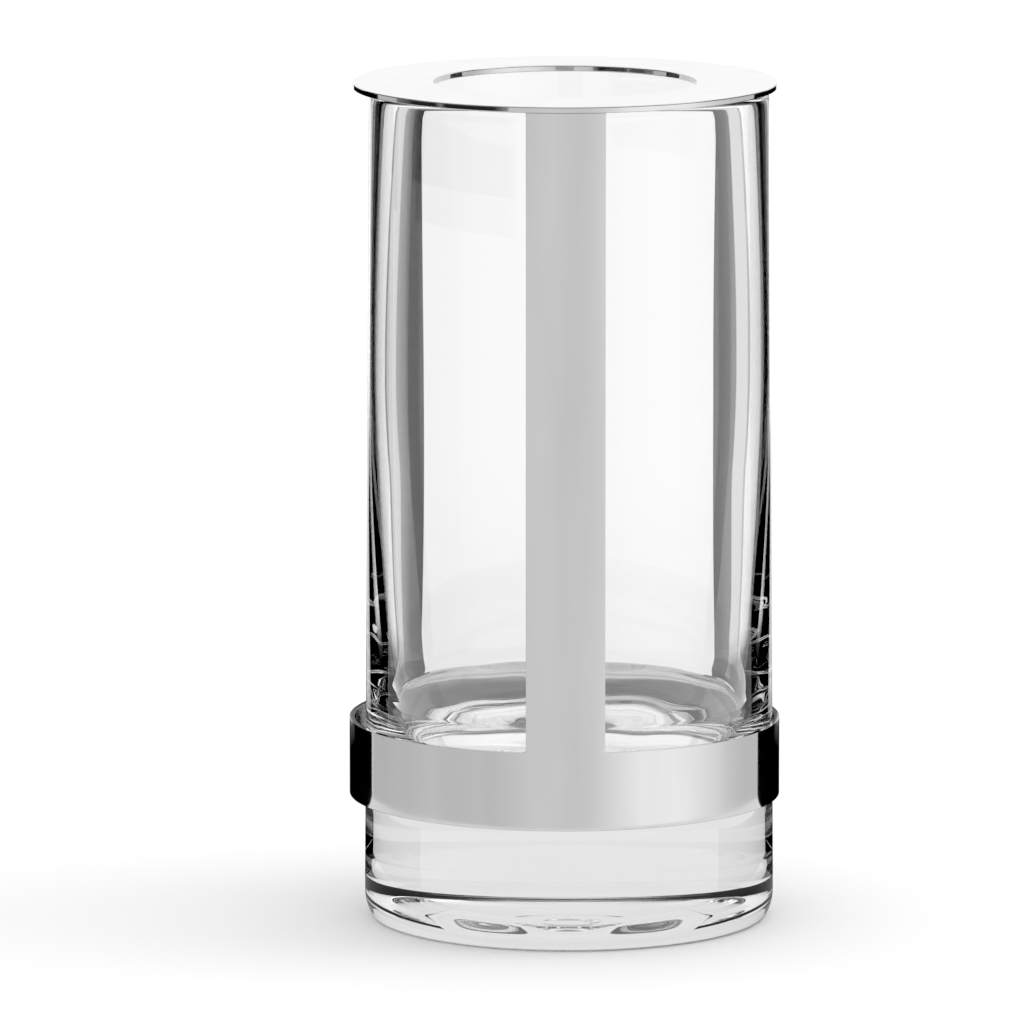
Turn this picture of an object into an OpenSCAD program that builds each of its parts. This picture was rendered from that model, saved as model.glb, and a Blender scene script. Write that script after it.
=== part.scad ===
// Candle lantern: a heavy clear glass cylinder that stands inside a loose
// polished holder. The holder is a flat ring that rests on the glass rim, one
// strap down the front and a low band round the glass.
// Z = 0 is the surface that the lantern stands on, the Z axis is the holder's
// axis, and the strap faces -Y.

/* [Top ring] */
// Height of the ring's top face above the table
total_h = 200; // [190:1:220]
// Outer radius of the ring
ring_r = 50.2; // [49.6:0.1:51]
// Radius of the opening in the ring
ring_hole_r = 31; // [20:0.5:40]
// Thickness of the ring
ring_t = 1.5; // [1:0.1:3]
// Rounding of the ring's edges
ring_edge_r = 0.3; // [0.1:0.05:0.45]

/* [Band and strap] */
// Outer radius of the band
band_r = 51.2; // [51.2:0.1:53]
// Height of the band's lower edge above the table
band_low_z = 29.5; // [15:0.5:34]
// Height of the band, from edge to edge
band_h = 18.5; // [10:0.5:30]
// Thickness of the sheet that the band and the strap are cut from
sheet_t = 1.2; // [0.8:0.1:1.2]
// Width of the strap
strap_w = 18.7; // [10:0.1:40]
// How far the strap's outer face stands back from the ring's edge
strap_inset = 0.3; // [0:0.1:0.6]
// Fillet where the strap grows out of the band
strap_fillet_r = 0.8; // [0.4:0.1:3]
// Width of the soldered seam that closes the band at the back
seam_w = 1.2; // [0.6:0.1:3]
// How far the seam's bead stands proud inside the band
seam_bead = 0.3; // [0.1:0.1:0.8]
// Leg of the solder fillet between the strap and the ring
solder_leg = 0.9; // [0.4:0.1:1.2]

/* [Glass] */
// How far the glass has slid towards +X inside the holder
glass_offset = 1.1; // [0:0.1:1.2]
// Outer radius of the glass at its rim
glass_top_r = 47.4; // [46:0.1:47.6]
// Outer radius of the glass at its foot
glass_low_r = 48.7; // [47.6:0.1:48.8]
// Thickness of the solid base, up to the candle's floor
base_t = 40; // [24:1:44]
// Radius of the flat part of the candle's floor
floor_r = 36.5; // [28:0.5:38]
// Wall thickness at its thinnest
wall_mid_t = 1.85; // [1.5:0.05:3]
// Wall thickness at the rim
wall_lip_t = 3.1; // [2:0.1:4.5]
// Wall thickness at the foot of the inner wall
wall_heel_t = 6; // [5:0.1:8]
// Radius of the gentle curve that starts the outer edge of the base
foot_edge_r = 11.3; // [8:0.1:12]
// Radius of the tighter curve that ends it
foot_corner_r = 1.8; // [1.2:0.1:3]
// Inner radius of the flat ring that the glass stands on
foot_inner_r = 23.7; // [20:0.1:34]
// Radius of the crest of the hollow pressed into the base
hollow_r = 18.6; // [14:0.2:19.4]
// Height of the hollow at its crest
hollow_h = 2.2; // [1.6:0.1:3]
// How far the hollow's ceiling sags from its crest to the middle
sag_h = 1.4; // [0.4:0.1:1.5]
// Radius of the outer pressed ring in the ceiling
outer_mark_r = 10.3; // [8:0.1:12]
// Radius of the inner pressed ring in the ceiling
inner_mark_r = 5.1; // [3:0.1:6]
// Depth of each pressed ring
mark_h = 0.2; // [0.1:0.1:0.4]

/* [Hidden] */
$fn = 180;

// The ring's underside is where the strap ends. The glass rim stops just short of it.
ring_low_z = total_h - ring_t;
rim_gap = 0.05;
rim_z = ring_low_z - rim_gap;
band_top_z = band_low_z + band_h;
strap_top_r = ring_r - strap_inset;

// Heights that shape the inner wall: top of the curved corner, thinnest place, start of the lip
heel_z = base_t + 13;
thin_z = base_t + 0.57 * (rim_z - base_t);
lip_z = rim_z - wall_lip_t / 2;

// How far the gentle curve under the wall turns, and the height where it starts
foot_turn = 28;
foot_z = foot_edge_r * sin(foot_turn) + foot_corner_r * (1 - sin(foot_turn));

// Width of each pressed ring
mark_w = 1;

// Outer and inner ends of each stretch under the base, as radii, and its steps
stretches = [
    [foot_inner_r, hollow_r + 0.2, 6],
    [hollow_r, outer_mark_r + mark_w / 2, 4],
    [outer_mark_r, outer_mark_r - mark_w / 2, 1],
    [inner_mark_r + mark_w / 2, inner_mark_r, 1],
    [inner_mark_r - mark_w / 2, inner_mark_r / 2, 1]
];

corner_steps = 10;
wall_steps = 8;
lip_steps = 12;
edge_steps = 5;
foot_steps = 6;

// Outer radius of the glass at height z: a slow, straight taper towards the rim
function outer_r(z) =
    glass_low_r + (glass_top_r - glass_low_r) * (z - foot_z) / (lip_z - foot_z);

// Wall thickness at height z: thinnest at thin_z, swelling towards the heel and the lip
function wall_t(z) = z < thin_z
    ? wall_mid_t + (wall_heel_t - wall_mid_t) * pow((thin_z - z) / (thin_z - heel_z), 2)
    : wall_mid_t + (wall_lip_t - wall_mid_t) * pow((z - thin_z) / (lip_z - thin_z), 2);

function inner_r(z) = outer_r(z) - wall_t(z);

// Eases from 0 at start to 1 at end
function smooth(x, start, end) =
    let (t = min(max((x - start) / (end - start), 0), 1)) t * t * (3 - 2 * t);

// Depth at radius r of a ring pressed into the underside at mark_r
function mark(r, mark_r) = mark_h * max(0, 1 - abs(r - mark_r) / (mark_w / 2));

// Underside of the base at radius r: a hollow whose ceiling sags towards the middle
function under_z(r) =
    hollow_h * smooth(r, foot_inner_r, hollow_r)
    - sag_h * max(0, 1 - pow(r / hollow_r, 2))
    + mark(r, outer_mark_r) + mark(r, inner_mark_r);

// Points on a quarter or half turn of an ellipse, from angle a0 to a1
function arc(cx, cz, rx, rz, a0, a1, steps) =
    [for (i = [0 : steps]) let (a = a0 + (a1 - a0) * i / steps) [cx + rx * cos(a), cz + rz * sin(a)]];

// Heavy-bottomed glass, revolved from the outline of its right half
module glass_cylinder() {
    heel_r = inner_r(heel_z);
    lip_mid_r = glass_top_r - wall_lip_t / 2;
    corner = arc(floor_r, heel_z, heel_r - floor_r, heel_z - base_t, -90, 0, corner_steps);
    wall = [for (i = [1 : wall_steps - 1]) let (z = heel_z + (lip_z - heel_z) * i / wall_steps) [inner_r(z), z]];
    lip = arc(lip_mid_r, lip_z, wall_lip_t / 2, wall_lip_t / 2, 180, 0, lip_steps);
    corner_r = glass_low_r - foot_edge_r * (1 - cos(foot_turn)) - foot_corner_r * cos(foot_turn);
    // The gentle curve stops one step short, because the tight one starts at its end
    edge_turn = foot_turn * (1 - 1 / edge_steps);
    edge = arc(glass_low_r - foot_edge_r, foot_z, foot_edge_r, foot_edge_r, 0, -edge_turn, edge_steps - 1);
    foot = arc(corner_r, foot_corner_r, foot_corner_r, foot_corner_r, -foot_turn, -90, foot_steps);
    under = [for (s = stretches, i = [0 : s[2]]) let (r = s[0] + (s[1] - s[0]) * i / s[2]) [r, under_z(r)]];
    color([0.9, 0.95, 0.95, 0.4])
        translate([glass_offset, 0, 0])
        rotate_extrude()
        polygon(concat([[0, base_t]], corner, wall, lip, edge, foot, under, [[0, under_z(0)]]));
}

// Flat ring with softened edges that rests on the glass rim
module top_ring() {
    ring_w = ring_r - ring_hole_r;
    low = ring_edge_r;
    high = ring_t - ring_edge_r;
    near = ring_edge_r;
    far = ring_w - ring_edge_r;
    edge_steps = 4;
    color("gainsboro")
        translate([0, 0, ring_low_z])
        rotate_extrude()
        translate([ring_hole_r, 0])
        polygon(concat(
            arc(near, low, ring_edge_r, ring_edge_r, 180, 270, edge_steps),
            arc(far, low, ring_edge_r, ring_edge_r, 270, 360, edge_steps),
            arc(far, high, ring_edge_r, ring_edge_r, 0, 90, edge_steps),
            arc(near, high, ring_edge_r, ring_edge_r, 90, 180, edge_steps)
        ));
}

// Front view of the strap, with a fillet on each side of its foot
module strap_outline() {
    translate([-strap_w / 2, band_top_z])
        square([strap_w, ring_low_z - band_top_z]);
    for (side = [0, 1])
        mirror([side, 0])
        translate([strap_w / 2, band_top_z])
        difference() {
            square(strap_fillet_r);
            translate([strap_fillet_r, strap_fillet_r]) circle(r = strap_fillet_r);
        }
}

// Sheet shell that leans in from the band's top edge to the ring
module strap_shell() {
    rotate_extrude()
        polygon([
            [band_r - sheet_t, band_top_z],
            [band_r, band_top_z],
            [strap_top_r, ring_low_z],
            [strap_top_r - sheet_t, ring_low_z]
        ]);
}

// Upright block at the back of the band, where its two ends meet
module seam_block(height) {
    translate([-seam_w / 2, band_r / 2, band_low_z])
        cube([seam_w, band_r, height]);
}

// Band and strap: one T-shaped sheet, its crossbar rolled into an open hoop
module strap_band() {
    color("silver") {
        difference() {
            translate([0, 0, band_low_z]) cylinder(h = band_h, r = band_r);
            translate([0, 0, band_low_z - 1]) cylinder(h = band_h + 2, r = band_r - sheet_t);
            translate([0, 0, -1]) seam_block(band_h + 2);
        }
        intersection() {
            strap_shell();
            rotate([90, 0, 0]) linear_extrude(height = 2 * band_r) strap_outline();
        }
    }
}

// Solder fillet in the corner behind the strap, under the ring
module strap_solder() {
    inner_face_r = strap_top_r - sheet_t;
    half_angle = asin(strap_w / 2 / inner_face_r);
    color("darkgray")
        rotate([0, 0, 270 - half_angle])
        rotate_extrude(angle = 2 * half_angle)
        translate([inner_face_r - solder_leg, ring_low_z - solder_leg])
        difference() {
            square(solder_leg);
            circle(r = solder_leg);
        }
}

// Soldered seam that joins the band's two ends at the back
module band_seam() {
    color("darkgray")
        intersection() {
            translate([0, 0, band_low_z])
                difference() {
                    cylinder(h = band_h, r = band_r);
                    translate([0, 0, -1]) cylinder(h = band_h + 2, r = band_r - sheet_t - seam_bead);
                }
            seam_block(band_h);
        }
}

glass_cylinder();
top_ring();
strap_band();
strap_solder();
band_seam();
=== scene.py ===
import math

import bmesh
import bpy
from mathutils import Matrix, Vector, noise


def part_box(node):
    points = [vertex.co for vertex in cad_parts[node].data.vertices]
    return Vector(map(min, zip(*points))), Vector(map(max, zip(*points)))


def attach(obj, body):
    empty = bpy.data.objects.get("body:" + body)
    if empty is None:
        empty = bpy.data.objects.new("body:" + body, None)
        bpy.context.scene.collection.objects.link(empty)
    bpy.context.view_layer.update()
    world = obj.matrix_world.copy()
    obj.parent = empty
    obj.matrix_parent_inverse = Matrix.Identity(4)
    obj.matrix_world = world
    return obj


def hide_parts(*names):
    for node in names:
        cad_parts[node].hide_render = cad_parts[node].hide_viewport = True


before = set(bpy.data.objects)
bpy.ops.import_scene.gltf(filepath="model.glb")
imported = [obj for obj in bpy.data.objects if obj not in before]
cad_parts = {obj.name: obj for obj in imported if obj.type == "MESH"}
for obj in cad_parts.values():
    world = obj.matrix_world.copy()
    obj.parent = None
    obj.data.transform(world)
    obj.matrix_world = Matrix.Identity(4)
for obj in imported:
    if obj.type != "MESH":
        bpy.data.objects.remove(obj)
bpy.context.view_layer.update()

# Candle lantern: a heavy clear glass cylinder in a loose polished holder.
# Lengths are metres, written in millimetres times MM. The strap faces -Y.

MM = 0.001
TURN = 2 * math.pi

# ---------------------------------------------------------------- sizes

RING_LOW, RING_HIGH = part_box("top_ring")
BAND_LOW, STRAP_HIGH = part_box("strap_band")
GLASS_LOW, GLASS_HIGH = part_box("glass_cylinder")

RING_R = (RING_HIGH.x - RING_LOW.x) / 2
BAND_R = (STRAP_HIGH.x - BAND_LOW.x) / 2
GLASS_X = (GLASS_HIGH.x + GLASS_LOW.x) / 2
RIM_Z = GLASS_HIGH.z

# Holder
HOLE_R = 31 * MM
RING_EDGE_R = 0.3 * MM
BAND_H = 18.5 * MM
BAND_TOP_Z = BAND_LOW.z + BAND_H
SHEET_T = 1.2 * MM
STRAP_W = 18.7 * MM
STRAP_FILLET_R = 0.8 * MM
STRAP_TOP_R = RING_R - 0.3 * MM
SHEET_EDGE_R = 0.3 * MM
SEAM_W = 1.2 * MM
RING_SEGMENTS = 256

# Glass
GLASS_TOP_R = 47.4 * MM
GLASS_LOW_R = 48.7 * MM
BASE_T = 40 * MM
FLOOR_R = 36.5 * MM
WALL_MID_T = 1.85 * MM
WALL_LIP_T = 3.1 * MM
WALL_HEEL_T = 6.0 * MM
FOOT_EDGE_R = 11.3 * MM
FOOT_CORNER_R = 1.8 * MM
FOOT_TURN = 28  # degrees
FOOT_INNER_R = 23.7 * MM
HOLLOW_R = 18.6 * MM
HOLLOW_H = 2.2 * MM
SAG_H = 1.4 * MM
OUTER_MARK_R = 10.3 * MM
INNER_MARK_R = 5.1 * MM
MARK_H = 0.2 * MM
MARK_W = 1 * MM
PONTIL_X = 4 * MM
PONTIL_Y = 1 * MM
PONTIL_R = 1.1 * MM
PONTIL_H = 0.5 * MM
SLOW_WAVE = 0.06 * MM
HEEL_WAVE = 0.16 * MM
HEEL_WAVE_H = 12 * MM
FLOOR_STEPS = 12
INNER_STEPS = 72
OUTER_STEPS = 30
UNDER_STEPS = 120
GLASS_SEGMENTS = 288
HEEL_Z = BASE_T + 13 * MM
THIN_Z = BASE_T + 0.57 * (RIM_Z - BASE_T)
LIP_Z = RIM_Z - WALL_LIP_T / 2
FOOT_SINE = math.sin(math.radians(FOOT_TURN))
FOOT_COSINE = math.cos(math.radians(FOOT_TURN))
FOOT_Z = FOOT_EDGE_R * FOOT_SINE + FOOT_CORNER_R * (1 - FOOT_SINE)


# ---------------------------------------------------------------- helpers

def mesh_piece(name, bm):
    """A smooth-shaded object made from a bmesh, which is freed."""
    mesh = bpy.data.meshes.new(name)
    bm.to_mesh(mesh)
    bm.free()
    mesh.shade_smooth()
    piece = bpy.data.objects.new(name, mesh)
    bpy.context.scene.collection.objects.link(piece)
    return piece


def lathe(name, profile, segments, centre_x=0.0, wobble=None):
    """Revolves (r, z) points about a vertical axis. A point at r = 0 becomes a pole."""
    bm = bmesh.new()
    rings = []
    for r, z in profile:
        if r < 1e-7:
            rings.append([bm.verts.new((centre_x, 0, z))])
            continue
        ring = []
        for i in range(segments):
            a = TURN * i / segments
            dr, dz = wobble(a, r, z) if wobble else (0, 0)
            ring.append(bm.verts.new((centre_x + (r + dr) * math.cos(a), (r + dr) * math.sin(a), z + dz)))
        rings.append(ring)
    closed = profile[0][0] > 1e-7
    pairs = list(zip(rings, rings[1:])) + ([(rings[-1], rings[0])] if closed else [])
    for low, high in pairs:
        for i in range(segments):
            j = (i + 1) % segments
            corners = [low[i % len(low)], low[j % len(low)], high[j % len(high)], high[i % len(high)]]
            bm.faces.new(list(dict.fromkeys(corners)))
    bmesh.ops.recalc_face_normals(bm, faces=bm.faces)
    return mesh_piece(name, bm)


def arc(cx, cz, rx, rz, start, end, steps):
    """Points along an ellipse from one angle to another, in degrees."""
    points = []
    for i in range(steps + 1):
        a = math.radians(start + (end - start) * i / steps)
        points.append((cx + rx * math.cos(a), cz + rz * math.sin(a)))
    return points


# ---------------------------------------------------------------- materials

def new_material(name):
    """A new material, its node tree and its Principled shader."""
    mat = bpy.data.materials.new(name)
    mat.use_nodes = True
    tree = mat.node_tree
    shader = tree.nodes["Principled BSDF"]
    return mat, tree, shader


def add_noise(tree, scale, detail=3.0, stretch=(1, 1, 1)):
    """A noise texture in the object's own metres. Returns its factor socket."""
    coords = tree.nodes.new("ShaderNodeTexCoord")
    mapping = tree.nodes.new("ShaderNodeMapping")
    mapping.inputs["Scale"].default_value = stretch
    tex = tree.nodes.new("ShaderNodeTexNoise")
    tex.inputs["Scale"].default_value = scale
    tex.inputs["Detail"].default_value = detail
    tree.links.new(coords.outputs["Object"], mapping.inputs["Vector"])
    tree.links.new(mapping.outputs["Vector"], tex.inputs["Vector"])
    return tex.outputs["Fac"]


def ranged(tree, value, low, high, from_low=0.3, from_high=0.7):
    """Maps a noise factor to a range of values."""
    node = tree.nodes.new("ShaderNodeMapRange")
    node.inputs["From Min"].default_value = from_low
    node.inputs["From Max"].default_value = from_high
    node.inputs["To Min"].default_value = low
    node.inputs["To Max"].default_value = high
    tree.links.new(value, node.inputs["Value"])
    return node.outputs["Result"]


def add_bump(tree, shader, height, distance, strength=1.0):
    """Drives the shader's normal from a height socket. Stacks on an earlier bump."""
    bump = tree.nodes.new("ShaderNodeBump")
    bump.inputs["Strength"].default_value = strength
    bump.inputs["Distance"].default_value = distance
    tree.links.new(height, bump.inputs["Height"])
    if shader.inputs["Normal"].is_linked:
        tree.links.new(shader.inputs["Normal"].links[0].from_socket, bump.inputs["Normal"])
    tree.links.new(bump.outputs["Normal"], shader.inputs["Normal"])


def polished_plate():
    """Mirror-polished plating: faint waviness, handling haze and hairline scratches."""
    mat, tree, shader = new_material("polished_plate")
    shader.inputs["Metallic"].default_value = 1.0
    streaks = tree.nodes.new("ShaderNodeValToRGB")
    streaks.color_ramp.elements[0].position = 0.35
    streaks.color_ramp.elements[0].color = (0.575, 0.575, 0.58, 1)
    streaks.color_ramp.elements[1].position = 0.65
    streaks.color_ramp.elements[1].color = (0.615, 0.615, 0.62, 1)
    tree.links.new(add_noise(tree, 90, 2, (1, 1, 0.12)), streaks.inputs["Fac"])
    tree.links.new(streaks.outputs["Color"], shader.inputs["Base Color"])
    haze = ranged(tree, add_noise(tree, 45, 4), 0.035, 0.075)
    tree.links.new(haze, shader.inputs["Roughness"])
    add_bump(tree, shader, add_noise(tree, 30, 1), 0.00004)
    add_bump(tree, shader, add_noise(tree, 900, 2, (1, 1, 0.04)), 0.0000006)
    return mat


def clear_glass():
    """Clear glass with barely visible handling marks."""
    mat, tree, shader = new_material("clear_glass")
    shader.inputs["Base Color"].default_value = (1, 1, 1, 1)
    shader.inputs["Transmission Weight"].default_value = 1.0
    shader.inputs["IOR"].default_value = GLASS_IOR
    marks = ranged(tree, add_noise(tree, 60, 5), 0.0, 0.012, 0.5, 0.75)
    tree.links.new(marks, shader.inputs["Roughness"])
    return mat


def solder():
    """Plated-over solder: duller and lumpier than the sheet."""
    mat, tree, shader = new_material("plated_solder")
    shader.inputs["Base Color"].default_value = (0.52, 0.52, 0.52, 1)
    shader.inputs["Metallic"].default_value = 1.0
    tree.links.new(ranged(tree, add_noise(tree, 400, 4), 0.15, 0.35), shader.inputs["Roughness"])
    add_bump(tree, shader, add_noise(tree, 700, 3), 0.00005)
    return mat


# ---------------------------------------------------------------- glass

def outer_r(z):
    return GLASS_LOW_R + (GLASS_TOP_R - GLASS_LOW_R) * (z - FOOT_Z) / (LIP_Z - FOOT_Z)


def wall_t(z):
    if z < THIN_Z:
        return WALL_MID_T + (WALL_HEEL_T - WALL_MID_T) * ((THIN_Z - z) / (THIN_Z - HEEL_Z)) ** 2
    return WALL_MID_T + (WALL_LIP_T - WALL_MID_T) * ((z - THIN_Z) / (LIP_Z - THIN_Z)) ** 2


def inner_r(z):
    return outer_r(z) - wall_t(z)


def smooth(x, start, end):
    """Eases from 0 at start to 1 at end."""
    t = min(max((x - start) / (end - start), 0.0), 1.0)
    return t * t * (3 - 2 * t)


def mark(r, mark_r):
    """Depth at radius r of a ring pressed into the underside at mark_r."""
    return MARK_H * smooth(abs(r - mark_r), MARK_W / 2, 0)


def under_z(r):
    """Underside of the base: a pressed hollow whose ceiling sags towards the middle, with two rings in it."""
    sag = SAG_H * max(0.0, 1 - (r / HOLLOW_R) ** 2)
    return HOLLOW_H * smooth(r, FOOT_INNER_R, HOLLOW_R) - sag + mark(r, OUTER_MARK_R) + mark(r, INNER_MARK_R)


def glass_profile():
    """Outline of the glass's right half, from the middle of the candle's floor round to the underside."""
    heel_r = inner_r(HEEL_Z)
    points = [(FLOOR_R * i / FLOOR_STEPS, BASE_T) for i in range(FLOOR_STEPS)]
    points += arc(FLOOR_R, HEEL_Z, heel_r - FLOOR_R, HEEL_Z - BASE_T, -90, 0, 32)
    for i in range(1, INNER_STEPS):
        z = HEEL_Z + (LIP_Z - HEEL_Z) * i / INNER_STEPS
        points.append((inner_r(z), z))
    points += arc(GLASS_TOP_R - WALL_LIP_T / 2, LIP_Z, WALL_LIP_T / 2, WALL_LIP_T / 2, 180, 0, 24)
    for i in range(1, OUTER_STEPS):
        z = LIP_Z + (FOOT_Z - LIP_Z) * i / OUTER_STEPS
        points.append((outer_r(z), z))
    points += arc(GLASS_LOW_R - FOOT_EDGE_R, FOOT_Z, FOOT_EDGE_R, FOOT_EDGE_R, 0, -FOOT_TURN, 16)
    corner_r = points[-1][0] - FOOT_CORNER_R * FOOT_COSINE
    points += arc(corner_r, FOOT_CORNER_R, FOOT_CORNER_R, FOOT_CORNER_R, -FOOT_TURN, -90, 10)[1:]
    for i in range(UNDER_STEPS + 1):
        r = FOOT_INNER_R * (1 - i / UNDER_STEPS)
        points.append((r, under_z(r)))
    return points


def glass_wobble(a, r, z):
    """Small unevenness of the inner surface, strongest at the heel, and a pontil mark under the base."""
    if z < FOOT_Z and r < OUTER_MARK_R:
        away = math.hypot(r * math.cos(a) - PONTIL_X, r * math.sin(a) - PONTIL_Y)
        lump = math.exp(-((away / PONTIL_R) ** 2))
        rough = noise.noise(Vector((r * math.cos(a) / MM, r * math.sin(a) / MM, 3)))
        return 0, PONTIL_H * lump * (1 + rough)
    if r > outer_r(max(z, FOOT_Z)) - 1.2 * MM or z < BASE_T - 2 * MM:
        return 0, 0
    slow = noise.noise(Vector((1.6 * math.cos(a), 1.6 * math.sin(a), z / (55 * MM))))
    heel = math.exp(-(((z - HEEL_Z) / HEEL_WAVE_H) ** 2))
    quick = noise.noise(Vector((4 * math.cos(a), 4 * math.sin(a), 7 + z / (9 * MM))))
    return SLOW_WAVE * slow + HEEL_WAVE * heel * quick, 0


def make_glass():
    glass = lathe("clear_glass_cylinder", glass_profile(), GLASS_SEGMENTS, GLASS_X, glass_wobble)
    glass.data.materials.append(clear_glass())
    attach(glass, "glass")
    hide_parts("glass_cylinder")


# ---------------------------------------------------------------- holder

def make_ring(plate):
    low, high = RING_LOW.z, RING_HIGH.z
    e = RING_EDGE_R
    profile = arc(HOLE_R + e, low + e, e, e, 180, 270, 6)
    profile += arc(RING_R - e, low + e, e, e, 270, 360, 6)
    profile += arc(RING_R - e, high - e, e, e, 0, 90, 6)
    profile += arc(HOLE_R + e, high - e, e, e, 90, 180, 6)
    ring = lathe("polished_top_ring", profile, RING_SEGMENTS)
    ring.data.materials.append(plate)
    ring.modifiers.new("flat_faces", "WEIGHTED_NORMAL")
    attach(ring, "holder")
    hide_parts("top_ring")


def sheet_r(z):
    """Outer radius of the sheet: upright on the band, then leaning in to the ring."""
    lean = max(0.0, z - BAND_TOP_Z) / (RING_LOW.z - BAND_TOP_Z)
    return BAND_R + (STRAP_TOP_R - BAND_R) * lean


def on_sheet(u, z):
    """Point on the sheet's outer face, u metres round from the strap's middle."""
    a = u / sheet_r(z)
    return (sheet_r(z) * math.sin(a), -sheet_r(z) * math.cos(a), z)


def make_strap_band(plate):
    """One T-shaped sheet: a hoop, and a strap that grows out of its top edge with small fillets."""
    strap_cols, side_cols, band_rows = 20, 110, 14
    foot_half = STRAP_W / 2 + STRAP_FILLET_R
    back_half = math.pi * BAND_R - SEAM_W / 2
    us = [-back_half + (back_half - foot_half) * i / side_cols for i in range(side_cols)]
    us += [-foot_half + 2 * foot_half * i / strap_cols for i in range(strap_cols + 1)]
    us += [foot_half + (back_half - foot_half) * (i + 1) / side_cols for i in range(side_cols)]
    bm = bmesh.new()
    rows = []
    for k in range(band_rows + 1):
        z = BAND_LOW.z + BAND_H * k / band_rows
        rows.append([bm.verts.new(on_sheet(u, z)) for u in us])
    strap = [rows[-1][side_cols:side_cols + strap_cols + 1]]
    heights = []
    for k in range(1, 9):
        t = math.radians(90 - 90 * k / 8)
        heights.append((BAND_TOP_Z + STRAP_FILLET_R * (1 - math.sin(t)), STRAP_FILLET_R * (1 - math.cos(t))))
    start = BAND_TOP_Z + STRAP_FILLET_R
    heights += [(start + (RING_LOW.z - start) * k / 60, 0.0) for k in range(1, 61)]
    for z, widening in heights:
        half = STRAP_W / 2 + widening
        across = [-half + 2 * half * i / strap_cols for i in range(strap_cols + 1)]
        strap.append([bm.verts.new(on_sheet(u, z)) for u in across])
    for grid in (rows, strap):
        for low, high in zip(grid, grid[1:]):
            for i in range(len(low) - 1):
                bm.faces.new((low[i], low[i + 1], high[i + 1], high[i]))
    sheet = mesh_piece("polished_strap_and_band", bm)
    thick = sheet.modifiers.new("sheet_thickness", "SOLIDIFY")
    thick.thickness = SHEET_T
    thick.offset = -1
    soft = sheet.modifiers.new("soft_edges", "BEVEL")
    soft.width = SHEET_EDGE_R
    soft.segments = 3
    soft.limit_method = "ANGLE"
    soft.angle_limit = math.radians(50)
    sheet.modifiers.new("flat_faces", "WEIGHTED_NORMAL")
    sheet.data.materials.append(plate)
    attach(sheet, "holder")
    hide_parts("strap_band")


# ---------------------------------------------------------------- studio

CAMERA_PLACE = (-12.5 * MM, -2586 * MM, 515.3 * MM)
CAMERA_PITCH = 9.19
CAMERA_LENS = 387.7
GLASS_IOR = 1.5
FLOOR_GAP = 0.1 * MM
CARD_ROWS = 40
CARD_STEPS = 8
FLOOR_SHADE_SEGMENTS = 96


def make_camera():
    data = bpy.data.cameras.new("camera")
    data.lens = CAMERA_LENS
    data.sensor_width = 36
    camera = bpy.data.objects.new("camera", data)
    camera.location = CAMERA_PLACE
    camera.rotation_euler = (math.radians(90 - CAMERA_PITCH), 0, 0)
    bpy.context.scene.collection.objects.link(camera)
    bpy.context.scene.camera = camera
    return camera


def plane(name, corners):
    """A stage quad from its four corners."""
    bm = bmesh.new()
    bm.faces.new([bm.verts.new(c) for c in corners])
    obj = mesh_piece(name, bm)
    return obj


# Painted reflection: a glowing tent round the front of the lantern, which only glass and metal see and which
# lights nothing. Angles are compass degrees from the camera's side towards +X, and the cloth runs from
# TENT_START to TENT_END with a stop every TENT_STEP.
TENT_R = 200 * MM
TENT_H = 400 * MM
TENT_START = -108
TENT_END = 126
TENT_STEP = 6
# Above these heights the tent dims to the given part of its light
TENT_FALL = (210 * MM, 192 * MM)
TENT_TOP = 0.25
# Radiance of the white cloth, and how much it loses between the two angles near its left end
CLOTH = 0.8
CLOTH_DIP = 0.1
CLOTH_DIP_ANGLES = (-85, -110)
# Painted reflections of a soft box at the front right and a weak lamp in front, added to the cloth's glow; no
# such lamps light the scene. Each rises between its first two angles and falls between its last two.
PAINTED_BOX_LIGHT = 0.55
PAINTED_BOX_LIGHT_ANGLES = (0, 40, 55, 100)
PAINTED_FRONT_LIGHT = 0.15
PAINTED_FRONT_LIGHT_ANGLES = (-40, -10, -10, 20)
# Painted reflection of a black end on the left, with a thin bright strip along the edge of the cloth
TENT_LEFT_END = [(-126, 0.0), (-113.5, 0.0), (-113, 1.05), (-111.5, 0.7)]
# Painted dark reflections for the ring's rim: dark parts of the tent at the height that the rim reflects, the
# front left and both ends
RIM_BAND_LOW = 160 * MM
RIM_BAND_HIGH = 188 * MM
RIM_STOPS = [
    (-126, 0.0), (-110, 0.0), (-109, 0.75), (-93, 0.7), (-92, 0.25), (-84, 0.12), (-80, 0.02),
    (-66, 0.02), (-63, 0.3), (-60, 0.02), (-34, 0.02), (-27, 0.4),
]
RIM_STOPS_RIGHT = [(111, 0.8), (111.5, 0.0), (126, 0.0)]
# Painted shade on the floor under and round the base, seen only by glass and metal: radiance by distance from
# the middle, darkest in a ring just outside the glass
FLOOR_SHADE_STOPS = [
    (0 * MM, 0.8), (22 * MM, 0.8), (23 * MM, 0.95), (45.5 * MM, 0.95),
    (47 * MM, 0.24), (85 * MM, 0.24), (110 * MM, 0.7),
]
# Painted reflection: a glowing card close behind the glass, which only glass and metal see. Its edges are cut
# so that they look straight through the glass, and BRIGHT_FOOT of its width is left at the bottom.
BRIGHT_Y = 62 * MM
BRIGHT_H = 200 * MM
BRIGHT_HALF = 35.1 * MM
BRIGHT_FOOT = 0.64
BRIGHT_FALL = (0, 100 * MM)
BRIGHT_STOPS = [(-BRIGHT_HALF, 0.92), (BRIGHT_HALF, 0.95)]
# Painted reflection: a dim glowing wall behind it that only glass and metal see, by place along X: grey, then
# a light strip on each side, black further out.
WALL_Y = 80 * MM
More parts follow.
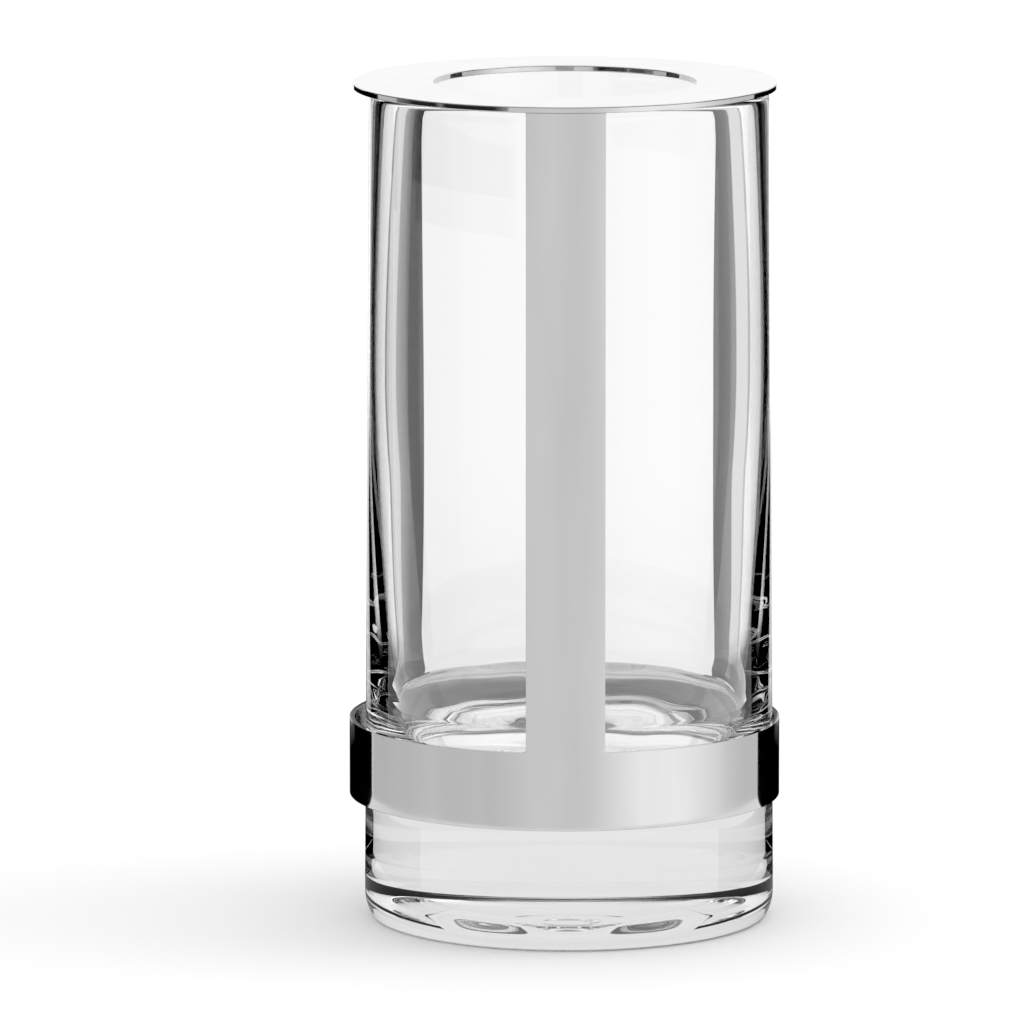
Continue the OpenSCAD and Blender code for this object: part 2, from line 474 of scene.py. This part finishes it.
# It is black below the first of the heights in WALL_FALL.
WALL_H = 200 * MM
WALL_FALL = (28 * MM, 40 * MM)
WALL_STOPS = [
    (-185 * MM, 0.0), (-72.5 * MM, 0.0), (-72 * MM, 1.15), (-55.2 * MM, 1.15),
    (-54.8 * MM, 0.2), (-53.8 * MM, 0.3), (-53.4 * MM, 0.7), (-48.2 * MM, 0.62),
    (-48 * MM, 0.25), (-45 * MM, 0.12), (-43 * MM, 0.03), (-30 * MM, 0.03),
]
WALL_STOPS_RIGHT = [
    (30 * MM, 0.06), (43 * MM, 0.10), (46 * MM, 0.16), (48 * MM, 0.16),
    (48.4 * MM, 0.7), (54 * MM, 0.7), (54.4 * MM, 0.4), (55.4 * MM, 0.4),
    (55.8 * MM, 1.15), (72 * MM, 1.15), (72.5 * MM, 0.0), (185 * MM, 0.0),
]
# Soft lamp that throws the faint shadow on the floor, in watts and metres
KEY_POWER = 1.5
KEY_SIZE = 0.5
KEY_PLACE = (0.7, 0.0, 0.7)
# Painted dark reflections: low black strips on both sides, seen only by glass and metal, which darken the
# edges of the solid base
STRIP_X = 100 * MM
STRIP_H = 15 * MM
STRIP_STOPS = [(-30 * MM, 0.0), (78 * MM, 0.0)]
# Painted shade: black sheets on the floor between the glass and the dim wall, seen only by glass and metal,
# which the glass shows along its own edges
SHADE_X = (20 * MM, 100 * MM)
SHADE_Y = (46 * MM, 79 * MM)


def bend(side, radius):
    """How far glass inside this radius turns a level ray that misses the axis by side, in radians."""
    return math.asin(side / radius) - math.asin(side / (GLASS_IOR * radius))


def flare(z):
    """The dim wall's strips spread apart towards the floor."""
    return 1 + 0.17 * (max(0.0, 90 * MM - z) / (42 * MM)) ** 1.4


def seen_at(side, height):
    """Where a ray that misses the glass's axis by side lands on the bright card, at this height."""
    total = 0.0
    for rise in (4 * MM, 17 * MM):
        z = min(max(height + rise, HEEL_Z), LIP_Z)
        total += bend(side, inner_r(z)) - bend(side, outer_r(z))
    full = (side + BRIGHT_Y * math.sin(total)) / math.cos(total)
    return full * (BRIGHT_FOOT + (1 - BRIGHT_FOOT) * smooth(height, 14 * MM, 26 * MM)) + GLASS_X


def painted_reflection_material():
    """Painted reflections: shines with the radiance stored on the card's own points."""
    mat = bpy.data.materials.new("painted_reflection_glow")
    mat.use_nodes = True
    nodes = mat.node_tree.nodes
    nodes.clear()
    out = nodes.new("ShaderNodeOutputMaterial")
    emit = nodes.new("ShaderNodeEmission")
    radiance = nodes.new("ShaderNodeAttribute")
    radiance.attribute_name = "radiance"
    mat.node_tree.links.new(radiance.outputs["Fac"], emit.inputs["Strength"])
    mat.node_tree.links.new(emit.outputs["Emission"], out.inputs["Surface"])
    return mat


def hide_card(card):
    """Keeps a studio card out of sight and out of the lighting, so that its glow is only a painted reflection
    in glass and metal.
    """
    card.visible_camera = False
    card.visible_diffuse = False
    card.visible_shadow = False


def painted_reflection_card(name, stops, place, low, high, foot, fall, mat, rig):
    """An upright card through place(at, z) for each (at, radiance) stop. It is a painted reflection: only
    glass and metal see it, and it lights nothing.

    Between the two heights in fall its light drops to the part given by foot.
    """
    bm = bmesh.new()
    layer = bm.verts.layers.float.new("radiance")
    rows = []
    for k in range(CARD_ROWS + 1):
        z = low + (high - low) * k / CARD_ROWS
        level = foot + (1 - foot) * smooth(z, *fall)
        row = []
        for (start, first), (end, last) in zip(stops, stops[1:]):
            for i in range(CARD_STEPS + 1):
                t = i / CARD_STEPS
                x, y = place(start + (end - start) * t, z)
                v = bm.verts.new((x, y, z))
                v[layer] = level * (first + (last - first) * t)
                row.append(v)
        rows.append(row)
    for row, above in zip(rows, rows[1:]):
        for i in range(len(row) - 1):
            bm.faces.new((row[i], row[i + 1], above[i + 1], above[i]))
    card = mesh_piece(name, bm)
    card.data.materials.append(mat)
    card.parent = rig
    hide_card(card)


def painted_floor_shade_disc(name, stops, mat, rig):
    """A disc of painted floor shade for (radius, radiance) stops, the first at its middle. Only glass and
    metal show it.
    """
    bm = bmesh.new()
    layer = bm.verts.layers.float.new("radiance")
    rings = []
    for radius, radiance in stops:
        ring = []
        for i in range(FLOOR_SHADE_SEGMENTS):
            a = TURN * i / FLOOR_SHADE_SEGMENTS
            v = bm.verts.new((radius * math.cos(a), radius * math.sin(a), -FLOOR_GAP / 2))
            v[layer] = radiance
            ring.append(v)
        rings.append(ring)
    for near, far in zip(rings, rings[1:]):
        for i in range(FLOOR_SHADE_SEGMENTS):
            bm.faces.new((near[i - 1], far[i - 1], far[i], near[i]))
    bmesh.ops.remove_doubles(bm, verts=bm.verts, dist=1e-6)
    patch = mesh_piece(name, bm)
    patch.data.materials.append(mat)
    patch.parent = rig
    hide_card(patch)


def light_at(angle, angles):
    """Part of a light that reaches this angle, from the four angles of its rise and fall."""
    dark, full, fade, end = angles
    return smooth(angle, dark, full) * (1 - smooth(angle, fade, end))


def tent_light(angle):
    """Radiance of the tent's cloth at a compass angle, with the painted soft box and front lamp reflections
    added.
    """
    cloth = CLOTH - CLOTH_DIP * smooth(angle, *CLOTH_DIP_ANGLES)
    painted_box_light = PAINTED_BOX_LIGHT * light_at(angle, PAINTED_BOX_LIGHT_ANGLES)
    return cloth + painted_box_light + PAINTED_FRONT_LIGHT * light_at(angle, PAINTED_FRONT_LIGHT_ANGLES)


def tent_stops():
    return TENT_LEFT_END + [(a, tent_light(a)) for a in range(TENT_START, TENT_END + 1, TENT_STEP)]


def on_tent(angle, z, radius=TENT_R):
    """Point on the tent at a compass angle. It is the same at every height z."""
    a = math.radians(angle)
    return radius * math.sin(a), -radius * math.cos(a)


def on_rim_band(angle, z):
    return on_tent(angle, z, TENT_R - 2 * MM)


def on_bright(side, z):
    return seen_at(side, z), BRIGHT_Y


def on_wall(x, z):
    return x * flare(z), WALL_Y


def make_studio(camera):
    scene = bpy.context.scene
    world = bpy.data.worlds.new("studio")
    scene.world = world
    world.use_nodes = True
    world.node_tree.nodes["Background"].inputs["Color"].default_value = (1, 1, 1, 1)
    world.node_tree.nodes["Background"].inputs["Strength"].default_value = 1.17

    low = -FLOOR_GAP
    floor = plane("floor", [(-6, -6, low), (6, -6, low), (6, 6, low), (-6, 6, low)])
    mat, tree, shader = new_material("pale_floor")
    shader.inputs["Base Color"].default_value = (0.88, 0.88, 0.88, 1)
    shader.inputs["Roughness"].default_value = 0.9
    shader.inputs["Specular IOR Level"].default_value = 0.0
    floor.data.materials.append(mat)

    rig = bpy.data.objects.new("studio_rig", None)
    scene.collection.objects.link(rig)
    turn = rig.constraints.new("COPY_ROTATION")
    turn.target = camera
    turn.use_x = False
    turn.use_y = False
    # Every card and floor sheet below is a painted reflection or painted shade, seen only by glass and metal;
    # none of it lights the scene.
    mat = painted_reflection_material()
    painted_reflection_card("painted_reflection_tent", tent_stops(), on_tent, 0, TENT_H, TENT_TOP, TENT_FALL, mat, rig)
    for name, stops in (("rim_band_left", RIM_STOPS), ("rim_band_right", RIM_STOPS_RIGHT)):
        painted_reflection_card(name, stops, on_rim_band, RIM_BAND_LOW, RIM_BAND_HIGH, 1, (0, TENT_H), mat, rig)
    # The bright card's glow is darker towards the bottom, down to 0.82 of it at the floor.
    painted_reflection_card("painted_bright_card", BRIGHT_STOPS, on_bright, 0, BRIGHT_H, 0.82, BRIGHT_FALL, mat, rig)
    for name, side in (("black_strip_left", -STRIP_X), ("black_strip_right", STRIP_X)):
        on_strip = lambda y, z, x=side: (x, y)
        painted_reflection_card(name, STRIP_STOPS, on_strip, 0, STRIP_H, 1, (0, STRIP_H), mat, rig)
    for name, stops in (("painted_dim_wall_left", WALL_STOPS), ("painted_dim_wall_right", WALL_STOPS_RIGHT)):
        painted_reflection_card(name, stops, on_wall, 0, WALL_H, 0, WALL_FALL, mat, rig)
    # Painted shade on the floor round the glass, which only glass and metal show.
    painted_floor_shade_disc("painted_floor_shade_disc", FLOOR_SHADE_STOPS, mat, rig)
    # Painted shade: black floor sheets that only glass and metal show.
    for name, side in (("floor_shade_left", -1), ("floor_shade_right", 1)):
        low_x, high_x = SHADE_X
        near, far = SHADE_Y
        spots = ((low_x, near), (high_x, near), (high_x, far), (low_x, far))
        shade = plane(name, [(side * x, y, -FLOOR_GAP / 4) for x, y in spots])
        shade.data.materials.append(mat)
        shade.parent = rig
        hide_card(shade)

    key = bpy.data.lights.new("key", "AREA")
    key.energy = KEY_POWER
    key.size = KEY_SIZE
    lamp = bpy.data.objects.new("key", key)
    lamp.location = KEY_PLACE
    lamp.rotation_euler = (Vector((0, 0, 0.05)) - lamp.location).to_track_quat("-Z", "Y").to_euler()
    lamp.parent = rig
    scene.collection.objects.link(lamp)

    scene.view_settings.view_transform = "Standard"
    scene.cycles.max_bounces = 64
    scene.cycles.transmission_bounces = 64
    scene.cycles.glossy_bounces = 12


# ---------------------------------------------------------------- build

camera = make_camera()
make_glass()
plate = polished_plate()
make_ring(plate)
make_strap_band(plate)
metal = solder()
for node in ("strap_solder", "band_seam"):
    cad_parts[node].data.materials.clear()
    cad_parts[node].data.materials.append(metal)
make_studio(camera)
